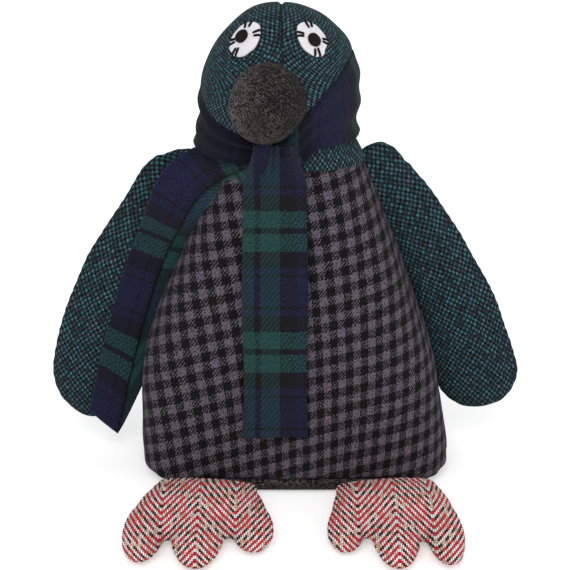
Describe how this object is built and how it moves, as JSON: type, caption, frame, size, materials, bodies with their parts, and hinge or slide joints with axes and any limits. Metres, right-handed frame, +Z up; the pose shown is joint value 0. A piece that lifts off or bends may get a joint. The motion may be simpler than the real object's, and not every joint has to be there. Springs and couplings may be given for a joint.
{
  "type": "weighted fabric door stop",
  "caption": "Weighted fabric door stop shaped as a standing stuffed penguin with a knotted check scarf; its sand-filled base holds a door open.",
  "frame": {"origin": "centre of the flat underside of the base, on the floor", "axes": "+Z up through the head, -Y the way the face looks, +X to the right of the picture"},
  "size_m": [0.3089, 0.228, 0.3],
  "materials": {
    "check_cloth": "matte woven cloth",
    "teal_cloth": "matte woven cloth",
    "charcoal_cloth": "matte woven cloth",
    "tweed": "matte woven cloth",
    "tartan": "matte woven cloth",
    "white_felt": "matte felt",
    "black_felt": "matte felt",
    "stuffing": "loose fibre",
    "sacking": "matte woven cloth"
  },
  "bodies": {
    "root": {"belly_panel": "check_cloth", "back_panel": "teal_cloth", "base_panel": "charcoal_cloth", "filling": "stuffing", "sand_bag": "sacking", "head_left": "teal_cloth", "head_right": "teal_cloth", "beak": "charcoal_cloth", "eye_white_left": "white_felt", "eye_white_right": "white_felt", "pupil_left": "black_felt", "pupil_right": "black_felt", "flipper_left": "teal_cloth", "flipper_right": "teal_cloth", "foot_left": "tweed", "foot_right": "tweed", "scarf": "tartan"}
  },
  "joints": []
}
